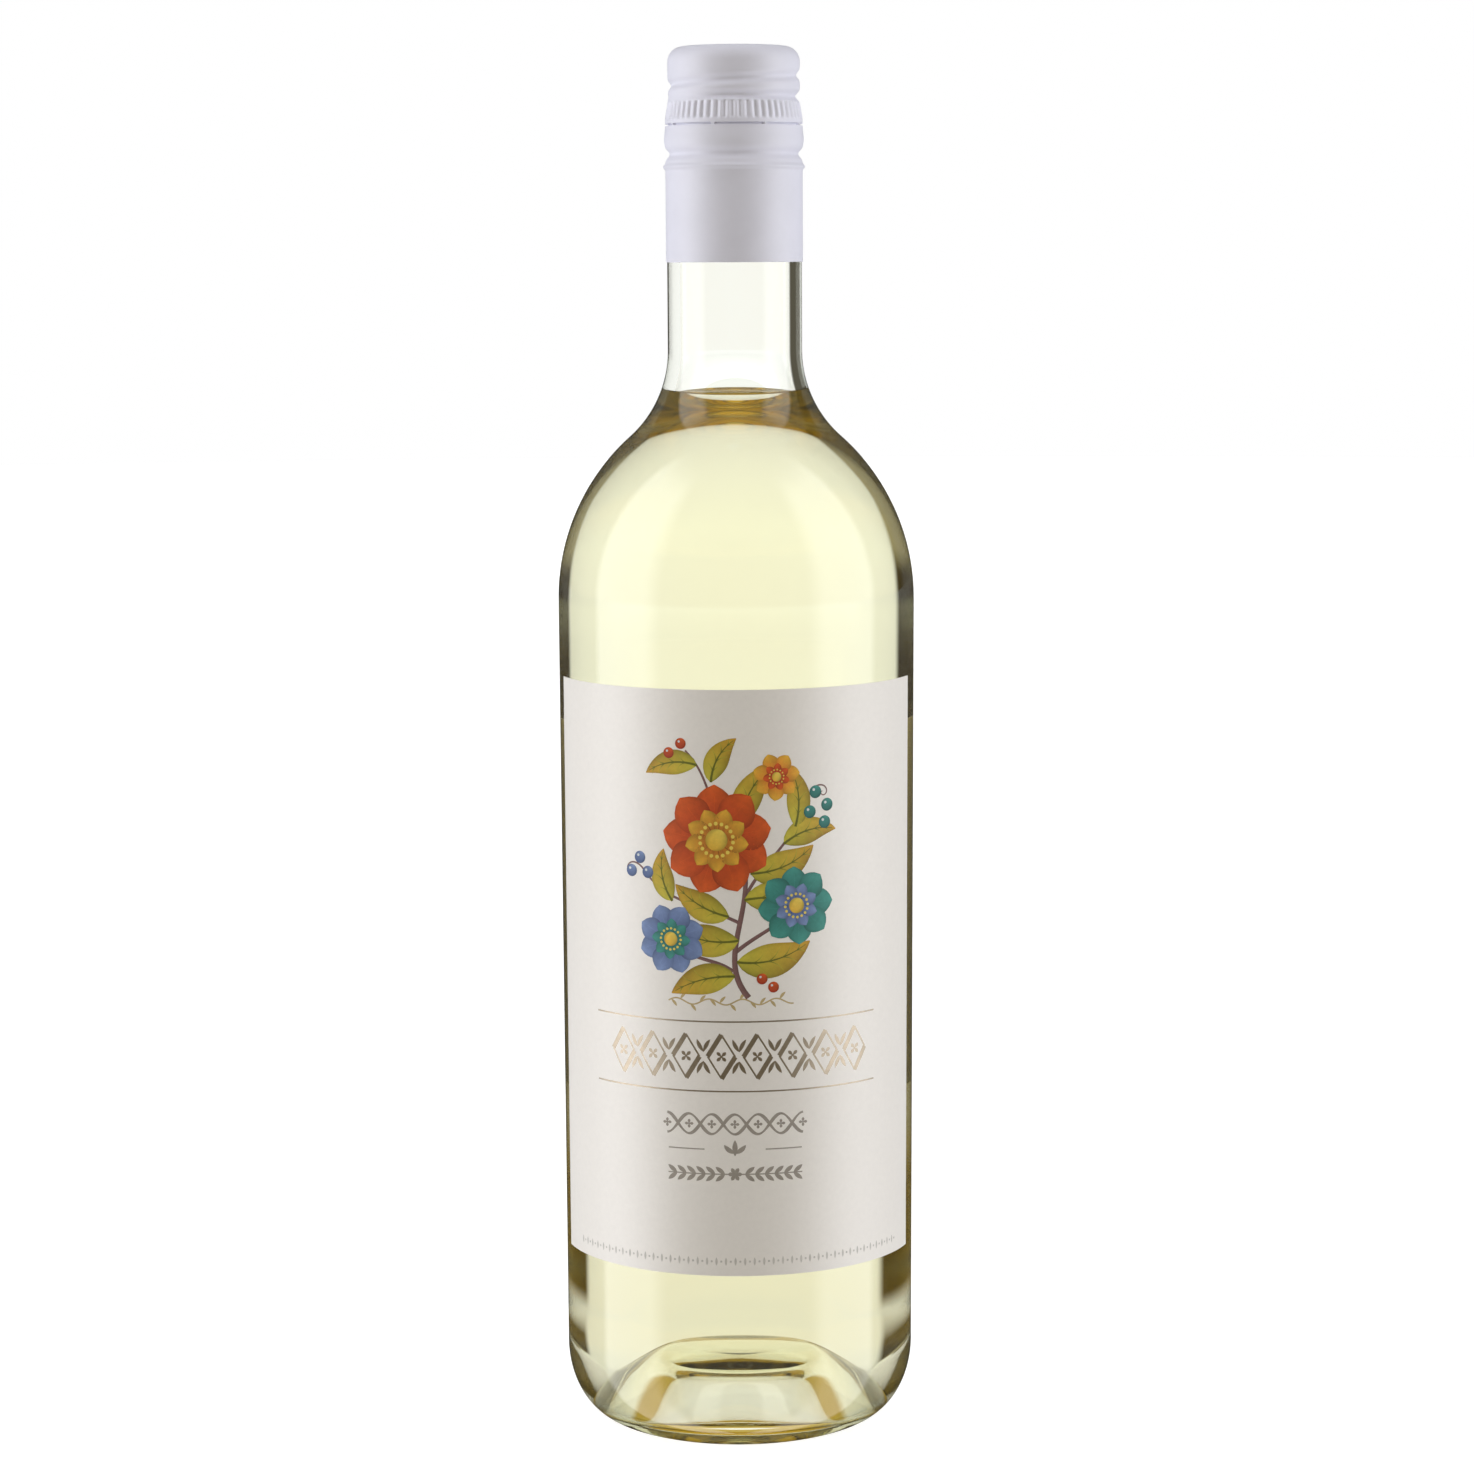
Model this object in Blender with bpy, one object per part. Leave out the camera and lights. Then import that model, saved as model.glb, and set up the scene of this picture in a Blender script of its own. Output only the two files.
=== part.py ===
# A 75 cl bottle of white wine with a long aluminium screw cap and two paper labels.
# Metres, +Z up. The bottle stands on z = 0 and its front label faces -Y.

import math

import bmesh
import bpy
import numpy as np
from mathutils import Vector

MM = 0.001

# Glass body: a very slight cone between the heel and the shoulder
BODY_TOP_RADIUS = 37.98 * MM
BODY_TOP_Z = 178.3 * MM
BODY_FOOT_RADIUS = 37.45 * MM
BODY_FOOT_Z = 16.0 * MM
WALL = 2.9 * MM
NECK_WALL = 2.8 * MM

# Shoulder: a convex arc on the body, then a concave arc that runs into the neck
SHOULDER_ARC = 46.0 * MM
NECK_ARC = 24.4 * MM
NECK_RADIUS = 14.25 * MM

# Heel and base: the bottle rests on a narrow flat ring round a hollow punt
REST_OUTER_RADIUS = 26.45 * MM
REST_INNER_RADIUS = 24.45 * MM
PUNT_FLAT_RADIUS = 11.5 * MM
PUNT_HEIGHT = 13.0 * MM
FLOOR_FLAT_RADIUS = 9.0 * MM
FLOOR_HEIGHT = 17.0 * MM
CHANNEL_RADIUS = 27.0 * MM
CHANNEL_Z = 4.5 * MM
INNER_HEEL_FULLNESS = 0.9

# Finish: the part of the glass that the cap covers
NECK_STEP = 0.8 * MM
FINISH_SKIRT_RADIUS = 13.65 * MM
FINISH_SKIRT_LENGTH = 18.9 * MM
FINISH_THREAD_RADIUS = 12.4 * MM
FINISH_CONE = 1.6 * MM
LIP_Z = 293.6 * MM
LIP_OUTER_RADIUS = 10.9 * MM
LIP_BEVEL = 2.7 * MM
BORE_RADIUS = 9.6 * MM
BORE_TOP_BEVEL = 0.5 * MM
BORE_CONE_Z = (262.0 * MM, 268.0 * MM)

# Wine, one gap inside the glass
FILL_Z = 221.0 * MM
GAP = 0.3 * MM

# Screw cap: a rounded top, a rolled thread, a knurled band and a long plain skirt
CAP_TOP_Z = 294.5 * MM
CAP_EDGE_Z = 249.5 * MM
CAP_FLAT_RADIUS = 10.8 * MM
CAP_ROUNDING = 3.2 * MM
CAP_THREAD_RADIUS = 13.95 * MM
CAP_SKIRT_RADIUS = 14.5 * MM
CAP_WIDENING_Z = (283.5 * MM, 279.0 * MM)
CAP_SKIRT_BORE = 14.05 * MM
CAP_THREAD_BORE = 12.75 * MM
CAP_BORE_CONE_Z = (268.6 * MM, 270.5 * MM)
CAP_TOP_THICKNESS = 0.5 * MM
CAP_TOP_BEVEL = 2.4 * MM
CAP_TOP_BEVEL_WIDTH = 1.7 * MM
CAP_EDGE_BEVEL = 0.1 * MM

# Rolled rings below the knurls, as height, swelling and half width of each
CAP_RINGS = (
    (284.1 * MM, -0.2 * MM, 0.8 * MM),
    (275.2 * MM, 0.25 * MM, 1.6 * MM),
    (272.1 * MM, -0.95 * MM, 0.95 * MM),
    (269.45 * MM, 0.5 * MM, 0.55 * MM),
)

# Thread groove: it winds down past the right, front and left and runs out a turn later
THREAD_PITCH = 4.4 * MM
THREAD_FRONT_Z = 287.4 * MM
THREAD_END_Z = 284.1 * MM
THREAD_DEPTH = 0.8 * MM
THREAD_HALF_WIDTH = 0.85 * MM
THREAD_FADE_IN = (math.radians(230), math.radians(170))
THREAD_FADE_OUT = (math.radians(-430), math.radians(-360))
THREAD_SEAM = math.radians(225)

# Knurls and the row of slits where the cap breaks open
KNURLS = 56
KNURL_DEPTH = 0.3 * MM
KNURL_Z = (282.7 * MM, 279.6 * MM)
SLITS = 8
SLIT_DEPTH = 0.4 * MM
SLIT_Z = (278.36 * MM, 278.04 * MM)
SLIT_EDGE = 0.09 * MM

# Labels
LABEL_THICKNESS = 0.2 * MM
FRONT_LABEL_Z = (39.4 * MM, 162.6 * MM)
FRONT_LABEL_HALF_ANGLE = math.radians(73.25)
BACK_LABEL_Z = (66.4 * MM, 149.0 * MM)
BACK_LABEL_HALF_ANGLE = math.radians(60.0)
FRONT = -math.pi / 2
BACK = math.pi / 2

# Facets round each turned part
GLASS_COLUMNS = 48
WINE_COLUMNS = 40
CAP_COLUMNS = KNURLS
LABEL_COLUMNS = 28

# Points along each curved stretch of a half section
NECK_ARC_ROWS = 7
NECK_ARC_SAMPLES = 200
SHOULDER_ARC_ROWS = 8
INNER_HEEL_ROWS = 7
FLOOR_ROWS = 6
HEEL_ROWS = 9
PUNT_ROWS = 6
CAP_ROUNDING_ROWS = 6
CAP_THREAD_ROWS = 12
CAP_RING_ROWS = 16

# Colours of the plain materials
GLASS_COLOUR = (0.93, 0.96, 0.94)
WINE_COLOUR = (0.93, 0.86, 0.45)
CAP_COLOUR = (0.78, 0.77, 0.83)
FRONT_PAPER_COLOUR = (0.9, 0.87, 0.8)
BACK_PAPER_COLOUR = (0.92, 0.9, 0.84)
GLASS_IOR = 1.5
WINE_IOR = 1.34

CAP_SHARP_ANGLE = math.radians(50)
SMALL = 0.01 * MM


def clear_scene():
    for item in list(bpy.data.objects):
        bpy.data.objects.remove(item, do_unlink=True)


def make_material(name, colour, roughness, metallic=0.0, transmission=0.0, ior=1.45):
    material = bpy.data.materials.new(name)
    material.use_nodes = True
    shader = material.node_tree.nodes["Principled BSDF"]
    shader.inputs["Base Color"].default_value = (*colour, 1.0)
    shader.inputs["Roughness"].default_value = roughness
    shader.inputs["Metallic"].default_value = metallic
    shader.inputs["Transmission Weight"].default_value = transmission
    shader.inputs["IOR"].default_value = ior
    material.diffuse_color = (*colour, 1.0)
    return material


def add_object(name, mesh, material):
    mesh.materials.append(material)
    item = bpy.data.objects.new(name, mesh)
    bpy.context.scene.collection.objects.link(item)
    return item


def profile_mesh(name, points):
    # the half section as a chain of edges in the XZ plane
    mesh = bpy.data.meshes.new(name)
    chain = [(i, i + 1) for i in range(len(points) - 1)]
    mesh.from_pydata([(r, 0.0, z) for r, z in points], chain, [])
    return mesh


def turned(name, points, columns, material):
    # a closed body: its half section starts and ends on the axis
    item = add_object(name, profile_mesh(name, points), material)
    screw = item.modifiers.new("Turn", "SCREW")
    screw.steps = columns
    screw.render_steps = columns
    screw.use_merge_vertices = True
    screw.merge_threshold = SMALL
    screw.use_smooth_shade = True
    return item


def smooth_step(share):
    share = min(max(share, 0.0), 1.0)
    return share * share * (3 - 2 * share)


def bump(z, centre, half_width):
    return math.exp(-(((z - centre) / half_width) ** 2))


def body_radius(z):
    # the outer radius of the glass between heel and shoulder
    share = (z - BODY_FOOT_Z) / (BODY_TOP_Z - BODY_FOOT_Z)
    return BODY_FOOT_RADIUS + share * (BODY_TOP_RADIUS - BODY_FOOT_RADIUS)


def neck_arc(share, inset, neck_inset):
    # the radius of the neck arc, moved in by neck_inset at its top and by inset at its foot
    return NECK_ARC + inset + (neck_inset - inset) * smooth_step(1 - share)


def shoulder(inset, neck_inset, top_z):
    # points from top_z, or from the top of the neck arc, down to the body
    across = NECK_RADIUS + NECK_ARC - (BODY_TOP_RADIUS - SHOULDER_ARC)
    rise = math.sqrt((SHOULDER_ARC + NECK_ARC) ** 2 - across**2)
    neck_z = BODY_TOP_Z + rise
    turn = math.atan2(rise, across)
    shares = np.linspace(0.0, 1.0, NECK_ARC_SAMPLES)
    drops = [neck_arc(share, inset, neck_inset) * math.sin(share * turn) for share in shares]
    start = np.interp(max(0.0, neck_z - top_z), drops, shares)
    points = []
    for share in np.linspace(start, 1.0, NECK_ARC_ROWS):
        arc = neck_arc(share, inset, neck_inset)
        r = NECK_RADIUS + NECK_ARC - arc * math.cos(share * turn)
        points.append((r, neck_z - arc * math.sin(share * turn)))
    for angle in np.linspace(turn, 0.0, SHOULDER_ARC_ROWS)[1:]:
        r = BODY_TOP_RADIUS - SHOULDER_ARC + (SHOULDER_ARC - inset) * math.cos(angle)
        points.append((r, BODY_TOP_Z + (SHOULDER_ARC - inset) * math.sin(angle)))
    return points


def lining(top_z):
    # the inner face of the glass from top_z down to the middle of the floor
    points = shoulder(WALL, NECK_WALL, top_z)
    across = BODY_FOOT_RADIUS - WALL - CHANNEL_RADIUS
    drop = FLOOR_HEIGHT - CHANNEL_Z
    for angle in np.linspace(0.0, math.pi / 2, INNER_HEEL_ROWS):
        r = CHANNEL_RADIUS + across * math.cos(angle) ** INNER_HEEL_FULLNESS
        z = FLOOR_HEIGHT - drop * math.sin(angle) ** INNER_HEEL_FULLNESS
        points.append((r, z))
    for share in np.linspace(0.0, 1.0, FLOOR_ROWS)[1:]:
        r = CHANNEL_RADIUS + (FLOOR_FLAT_RADIUS - CHANNEL_RADIUS) * share
        points.append((r, CHANNEL_Z + drop * smooth_step(share)))
    points.append((0.0, FLOOR_HEIGHT))
    return points


def finish():
    # the lip and the outer steps that the cap hides, down to its edge
    cone_z = CAP_EDGE_Z + FINISH_SKIRT_LENGTH
    return [
        (BORE_RADIUS, LIP_Z - BORE_TOP_BEVEL),
        (BORE_RADIUS + BORE_TOP_BEVEL, LIP_Z),
        (LIP_OUTER_RADIUS, LIP_Z),
        (FINISH_THREAD_RADIUS, LIP_Z - LIP_BEVEL),
        (FINISH_THREAD_RADIUS, cone_z + FINISH_CONE),
        (FINISH_SKIRT_RADIUS, cone_z),
        (FINISH_SKIRT_RADIUS, CAP_EDGE_Z),
        (NECK_RADIUS, CAP_EDGE_Z - NECK_STEP),
    ]


def heel_and_punt():
    # a quarter ellipse down to the resting ring, the ring, and the hollow inside it
    points = []
    across = BODY_FOOT_RADIUS - REST_OUTER_RADIUS
    for angle in np.linspace(0.0, math.pi / 2, HEEL_ROWS):
        r = REST_OUTER_RADIUS + across * math.cos(angle)
        points.append((r, BODY_FOOT_Z * (1 - math.sin(angle))))
    for share in np.linspace(0.0, 1.0, PUNT_ROWS):
        r = REST_INNER_RADIUS + (PUNT_FLAT_RADIUS - REST_INNER_RADIUS) * share
        points.append((r, PUNT_HEIGHT * smooth_step(share)))
    points.append((0.0, PUNT_HEIGHT))
    return points


def build_glass(material):
    # up the inside from the floor, over the lip, and down the outside to the punt
    points = lining(CAP_EDGE_Z)[::-1]
    points.append((NECK_RADIUS - NECK_WALL, BORE_CONE_Z[0]))
    points.append((BORE_RADIUS, BORE_CONE_Z[1]))
    points += finish() + shoulder(0.0, 0.0, CAP_EDGE_Z) + heel_and_punt()
    return turned("glass_bottle", points, GLASS_COLUMNS, material)


def moved_in(points, distance):
    # the same line moved away from the wall, for what the glass holds
    line = np.array(points)
    along = np.gradient(line, axis=0)
    along /= np.linalg.norm(along, axis=1)[:, None]
    moved = line + distance * np.column_stack((along[:, 1], -along[:, 0]))
    moved[0, 1] = line[0, 1]
    moved[-1] = (0.0, line[-1, 1] + distance)
    return moved.tolist()


def build_wine(material):
    # a solid up to the level shown
    points = [(0.0, FILL_Z)] + moved_in(lining(FILL_Z), GAP)
    return turned("wine", points, WINE_COLUMNS, material)


def cap_radius(z):
    # the cap widens from the thread to the skirt, with its rolled rings added
    widening = (CAP_WIDENING_Z[0] - z) / (CAP_WIDENING_Z[0] - CAP_WIDENING_Z[1])
    width = CAP_SKIRT_RADIUS - CAP_THREAD_RADIUS
    radius = CAP_THREAD_RADIUS + width * smooth_step(widening)
    return radius + sum(swell * bump(z, centre, half) for centre, swell, half in CAP_RINGS)


def cap_section():
    # the half section of the cap: over the top, down the outside and up the inside
    points = [(0.0, CAP_TOP_Z)]
    for angle in np.linspace(math.pi / 2, 0.0, CAP_ROUNDING_ROWS):
        r = CAP_FLAT_RADIUS + (CAP_THREAD_RADIUS - CAP_FLAT_RADIUS) * math.cos(angle)
        points.append((r, CAP_TOP_Z - CAP_ROUNDING * (1 - math.sin(angle))))
    thread_top = CAP_TOP_Z - CAP_ROUNDING
    slit_rows = (SLIT_Z[0] + SLIT_EDGE, *SLIT_Z, SLIT_Z[1] - SLIT_EDGE)
    ring_foot = CAP_RINGS[-1][0] - 2 * CAP_RINGS[-1][2]
    heights = [*np.linspace(thread_top, KNURL_Z[0], CAP_THREAD_ROWS)[1:]]
    heights += [KNURL_Z[1], *slit_rows]
    heights += [*np.linspace(slit_rows[-1], ring_foot, CAP_RING_ROWS)[1:]]
    points += [(cap_radius(z), z) for z in heights]
    points.append((CAP_SKIRT_RADIUS, CAP_EDGE_Z + CAP_EDGE_BEVEL))
    points.append((CAP_SKIRT_RADIUS - CAP_EDGE_BEVEL, CAP_EDGE_Z))
    points.append((CAP_SKIRT_BORE, CAP_EDGE_Z))
    points.append((CAP_SKIRT_BORE, CAP_BORE_CONE_Z[0]))
    points.append((CAP_THREAD_BORE, CAP_BORE_CONE_Z[1]))
    ceiling = CAP_TOP_Z - CAP_TOP_THICKNESS
    points.append((CAP_THREAD_BORE, ceiling - CAP_TOP_BEVEL))
    points.append((CAP_THREAD_BORE - CAP_TOP_BEVEL_WIDTH, ceiling))
    points.append((0.0, ceiling))
    return points


def thread_groove(from_front, z):
    # how deep the thread is pressed in at an angle from the front, positive to the right
    wound = from_front - 2 * math.pi if from_front > THREAD_SEAM else from_front
    depth = 0.0
    for angle in (wound, wound - 2 * math.pi):
        centre = max(THREAD_FRONT_Z + THREAD_PITCH * angle / (2 * math.pi), THREAD_END_Z)
        full_in, full_out = THREAD_FADE_IN[1], THREAD_FADE_OUT[1]
        start = smooth_step((THREAD_FADE_IN[0] - angle) / (THREAD_FADE_IN[0] - full_in))
        end = smooth_step((angle - THREAD_FADE_OUT[0]) / (full_out - THREAD_FADE_OUT[0]))
        depth = max(depth, THREAD_DEPTH * start * end * bump(z, centre, THREAD_HALF_WIDTH))
    return depth


def pressed_in(point):
    # a point of the cap's outer side with its thread groove and its slit pressed in
    from_front = (math.atan2(point.y, point.x) - FRONT) % (2 * math.pi)
    depth = 0.0
    if KNURL_Z[0] < point.z < CAP_TOP_Z - CAP_ROUNDING:
        depth = thread_groove(from_front, point.z)
    column = round(from_front / (2 * math.pi) * CAP_COLUMNS)
    per_slit = CAP_COLUMNS // SLITS
    in_slit = SLIT_Z[1] - SMALL < point.z < SLIT_Z[0] + SMALL
    if in_slit and column % per_slit != per_slit // 2:
        depth = SLIT_DEPTH
    scale = 1 - depth / math.hypot(point.x, point.y)
    return Vector((point.x * scale, point.y * scale, point.z))


def build_cap(material):
    mesh = profile_mesh("screw_cap", cap_section())
    body = bmesh.new()
    body.from_mesh(mesh)
    section = body.verts[:] + body.edges[:]
    axis = (0.0, 0.0, 1.0)
    turn = 2 * math.pi
    bmesh.ops.spin(body, geom=section, axis=axis, angle=turn, steps=CAP_COLUMNS, use_merge=True)
    bmesh.ops.remove_doubles(body, verts=body.verts, dist=SMALL)
    for vertex in body.verts:
        if math.hypot(vertex.co.x, vertex.co.y) > CAP_THREAD_BORE + SMALL:
            vertex.co = pressed_in(vertex.co)
    # each knurl's valley is cut into the middle of one facet of the knurled band
    rows = [e for e in body.edges if all(is_knurl_row(v.co.z) for v in e.verts)]
    across = [e for e in rows if abs(e.verts[0].co.z - e.verts[1].co.z) < SMALL]
    cut = bmesh.ops.subdivide_edges(body, edges=across, cuts=1)["geom_inner"]
    for vertex in [item for item in cut if isinstance(item, bmesh.types.BMVert)]:
        scale = 1 - KNURL_DEPTH / math.hypot(vertex.co.x, vertex.co.y)
        vertex.co = Vector((vertex.co.x * scale, vertex.co.y * scale, vertex.co.z))
    bmesh.ops.recalc_face_normals(body, faces=body.faces)
    body.to_mesh(mesh)
    body.free()
    mesh.shade_smooth()
    mesh.set_sharp_from_angle(angle=CAP_SHARP_ANGLE)
    return add_object("screw_cap", mesh, material)


def is_knurl_row(z):
    return min(abs(z - KNURL_Z[0]), abs(z - KNURL_Z[1])) < SMALL


def build_label(name, heights, half_angle, facing, material):
    # a flat grid bent round the body, one gap off the glass, then thickened outwards
    middle = (heights[0] + heights[1]) / 2
    half_height = (heights[1] - heights[0]) / 2
    body = bmesh.new()
    bmesh.ops.create_grid(body, x_segments=LABEL_COLUMNS, y_segments=1, size=1.0)
    for vertex in body.verts:
        angle = facing + half_angle * vertex.co.x
        z = middle + half_height * vertex.co.y
        r = body_radius(z) + GAP
        vertex.co = Vector((r * math.cos(angle), r * math.sin(angle), z))
    mesh = bpy.data.meshes.new(name)
    body.to_mesh(mesh)
    body.free()
    item = add_object(name, mesh, material)
    sheet = item.modifiers.new("Thickness", "SOLIDIFY")
    sheet.thickness = LABEL_THICKNESS
    sheet.offset = 1.0
    return item


def main():
    clear_scene()
    glass = make_material("Clear glass", GLASS_COLOUR, 0.03, transmission=1.0, ior=GLASS_IOR)
    straw = make_material("White wine", WINE_COLOUR, 0.02, transmission=0.9, ior=WINE_IOR)
    enamel = make_material("Painted aluminium", CAP_COLOUR, 0.35, metallic=0.3)
    paper = make_material("Label paper", FRONT_PAPER_COLOUR, 0.6)
    plain = make_material("Back label paper", BACK_PAPER_COLOUR, 0.6)
    build_glass(glass)
    build_wine(straw)
    build_cap(enamel)
    build_label("front_label", FRONT_LABEL_Z, FRONT_LABEL_HALF_ANGLE, FRONT, paper)
    build_label("back_label", BACK_LABEL_Z, BACK_LABEL_HALF_ANGLE, BACK, plain)


main()
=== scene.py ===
import math

import bpy
import numpy as np
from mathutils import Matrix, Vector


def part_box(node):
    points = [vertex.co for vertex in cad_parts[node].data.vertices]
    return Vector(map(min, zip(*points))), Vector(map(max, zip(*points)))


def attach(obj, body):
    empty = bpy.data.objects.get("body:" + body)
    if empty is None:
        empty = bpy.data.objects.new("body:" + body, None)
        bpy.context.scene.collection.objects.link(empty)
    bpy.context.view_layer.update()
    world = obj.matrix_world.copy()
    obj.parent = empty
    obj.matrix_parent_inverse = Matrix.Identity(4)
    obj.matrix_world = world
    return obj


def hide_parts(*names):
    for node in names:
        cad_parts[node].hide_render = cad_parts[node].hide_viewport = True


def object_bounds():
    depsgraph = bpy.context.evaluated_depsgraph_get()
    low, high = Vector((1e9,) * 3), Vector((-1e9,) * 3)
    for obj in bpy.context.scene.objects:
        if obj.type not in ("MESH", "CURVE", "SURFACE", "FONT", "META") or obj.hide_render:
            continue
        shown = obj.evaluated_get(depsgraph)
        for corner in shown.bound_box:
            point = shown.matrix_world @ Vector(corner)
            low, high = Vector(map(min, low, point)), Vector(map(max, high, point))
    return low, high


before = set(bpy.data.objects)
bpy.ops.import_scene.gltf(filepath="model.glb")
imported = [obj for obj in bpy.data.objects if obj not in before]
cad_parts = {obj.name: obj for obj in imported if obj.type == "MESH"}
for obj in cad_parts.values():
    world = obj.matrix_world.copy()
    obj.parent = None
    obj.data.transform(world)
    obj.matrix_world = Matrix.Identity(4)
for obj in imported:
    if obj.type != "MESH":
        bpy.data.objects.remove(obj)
cadBox = [list(corner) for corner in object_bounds()]
mm = 0.001
print("frame loaded")


# Mesh helpers: every new piece is a grid of points worked out as whole arrays

def joinFaces(rows, columns, wrap, offset=0):
    # the quads of a grid of rows by columns, as rows of four indices
    last = columns if wrap else columns - 1
    i, j = np.meshgrid(np.arange(rows - 1), np.arange(last), indexing="ij")
    k = (j + 1) % columns
    corners = (i * columns + j, (i + 1) * columns + j, (i + 1) * columns + k, i * columns + k)
    return offset + np.stack(corners, axis=-1).reshape(-1, 4)


def addPiece(name, points, quads, triangles, material, sharpAngle, second=None):
    # a mesh object on the root body, with its place in its mesh; second holds another
    # material and, for each face, whether it wears it
    mesh = bpy.data.meshes.new(name)
    faces = np.asarray(quads).tolist() + np.asarray(triangles).reshape(-1, 3).tolist()
    mesh.from_pydata(np.asarray(points).tolist(), [], faces)
    mesh.validate()
    mesh.shade_smooth()
    mesh.set_sharp_from_angle(angle=math.radians(sharpAngle))
    mesh.materials.append(material)
    if second is not None:
        mesh.materials.append(second[0])
        mesh.polygons.foreach_set("material_index", np.asarray(second[1], dtype=np.int32))
    piece = bpy.data.objects.new(name, mesh)
    bpy.context.scene.collection.objects.link(piece)
    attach(piece, "root")
    return piece


def turnedPiece(name, radius, height, material, sharpAngle):
    # radius and height are rows by columns; the first and last rows close on the axis:
    # x = radius sin(angle), y = -radius cos(angle), z = height
    rows, columns = radius.shape
    angle = np.arange(columns) * 2 * math.pi / columns
    ring = np.stack((radius * np.sin(angle), -radius * np.cos(angle), height), axis=-1)
    top = [0.0, 0.0, height[0].mean()]
    foot = [0.0, 0.0, height[-1].mean()]
    points = np.vstack((ring.reshape(-1, 3), [top, foot]))
    quads = joinFaces(rows, columns, True)
    j = np.arange(columns)
    k = (j + 1) % columns
    lastRow = (rows - 1) * columns
    topFan = np.stack((np.full(columns, rows * columns), j, k), axis=-1)
    footFan = np.stack((np.full(columns, rows * columns + 1), lastRow + k, lastRow + j), axis=-1)
    triangles = np.vstack((topFan, footFan))
    return addPiece(name, points, quads, triangles, material, sharpAngle)


def asRows(line, columns):
    # a half section of radii and heights, repeated round the axis
    line = np.asarray(line)
    radius = np.repeat(line[:, :1], columns, axis=1)
    height = np.repeat(line[:, 1:], columns, axis=1)
    return radius, height


def fillIn(line, step):
    # the same line with even steps added on every stretch longer than step, so that
    # smooth shading stays straight along the long ones
    line = np.asarray(line)
    length = np.hypot(*np.diff(line, axis=0).T)
    parts = np.maximum(1, np.ceil(length / step)).astype(int)
    first = np.repeat(np.cumsum(parts) - parts, parts)
    share = (np.arange(parts.sum()) - first) / np.repeat(parts, parts)
    place = np.append(np.repeat(np.arange(len(parts)), parts) + share, len(parts))
    rank = np.arange(len(line))
    return np.column_stack((np.interp(place, rank, line[:, 0]), np.interp(place, rank, line[:, 1])))


def smoothStep(share):
    # share^2 (3 - 2 share), level at 0 and at 1
    share = np.clip(share, 0.0, 1.0)
    return share * share * (3 - 2 * share)


def bump(z, centre, halfWidth):
    # exp(-((z - centre) / halfWidth)^2)
    return np.exp(-(((z - centre) / halfWidth) ** 2))


# Material helpers

def newMaterial(name):
    material = bpy.data.materials.new(name)
    material.use_nodes = True
    tree = material.node_tree
    shader = tree.nodes["Principled BSDF"]
    return material, tree, shader


def node(tree, kind, **values):
    made = tree.nodes.new(kind)
    for key, value in values.items():
        setattr(made, key, value)
    return made


def setInputs(made, **values):
    # the keys are the names of the inputs, with _ for each space
    for key, value in values.items():
        made.inputs[key.replace("_", " ")].default_value = value


def noiseOf(tree, scale, detail=4.0, roughness=0.55, stretch=(1, 1, 1)):
    # a noise over the piece's own object coordinates, scale in features per metre
    place = node(tree, "ShaderNodeTexCoord")
    mapping = node(tree, "ShaderNodeMapping")
    mapping.inputs["Scale"].default_value = stretch
    noise = node(tree, "ShaderNodeTexNoise")
    setInputs(noise, Scale=scale, Detail=detail, Roughness=roughness)
    tree.links.new(place.outputs["Object"], mapping.inputs["Vector"])
    tree.links.new(mapping.outputs["Vector"], noise.inputs["Vector"])
    return noise.outputs["Fac"]


def rampOf(tree, source, stops):
    # a colour ramp over source; stops are (place, colour)
    ramp = node(tree, "ShaderNodeValToRGB")
    elements = ramp.color_ramp.elements
    while len(elements) < len(stops):
        elements.new(0.5)
    for element, (place, colour) in zip(elements, stops):
        element.position = place
        element.color = (*colour, 1.0)
    tree.links.new(source, ramp.inputs["Fac"])
    return ramp.outputs["Color"]


def bumpOf(tree, shader, source, distance):
    # source as relief, distance in metres from its lowest to its highest
    relief = node(tree, "ShaderNodeBump")
    setInputs(relief, Strength=1.0, Distance=distance)
    tree.links.new(source, relief.inputs["Height"])
    tree.links.new(relief.outputs["Normal"], shader.inputs["Normal"])


def rangeOf(tree, source, low, high):
    # source from 0 to 1 spread from low to high
    spread = node(tree, "ShaderNodeMapRange")
    setInputs(spread, To_Min=low, To_Max=high)
    tree.links.new(source, spread.inputs["Value"])
    return spread.outputs["Result"]


def mottle(tree, shader, source, spread, colour, low, high=1.0):
    # the base colour runs from low to high times colour, as source goes from spread
    # below its middle to spread above it
    first, last = (tuple(share * channel for channel in colour) for share in (low, high))
    tone = rampOf(tree, source, ((0.5 - spread, first), (0.5 + spread, last)))
    tree.links.new(tone, shader.inputs["Base Color"])


def clearMaterial(name, looks):
    # a clear body that tints the light the further it runs inside
    material, tree, shader = newMaterial(name)
    setInputs(shader, Base_Color=(*looks["tint"], 1.0), Roughness=0.0, IOR=looks["refraction"])
    setInputs(shader, Transmission_Weight=1.0)
    depth = node(tree, "ShaderNodeVolumeAbsorption")
    setInputs(depth, Color=(*looks["absorb"], 1.0), Density=looks["absorbDensity"])
    tree.links.new(depth.outputs["Volume"], tree.nodes["Material Output"].inputs["Volume"])
    return material, tree, shader


# The glass

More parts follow.
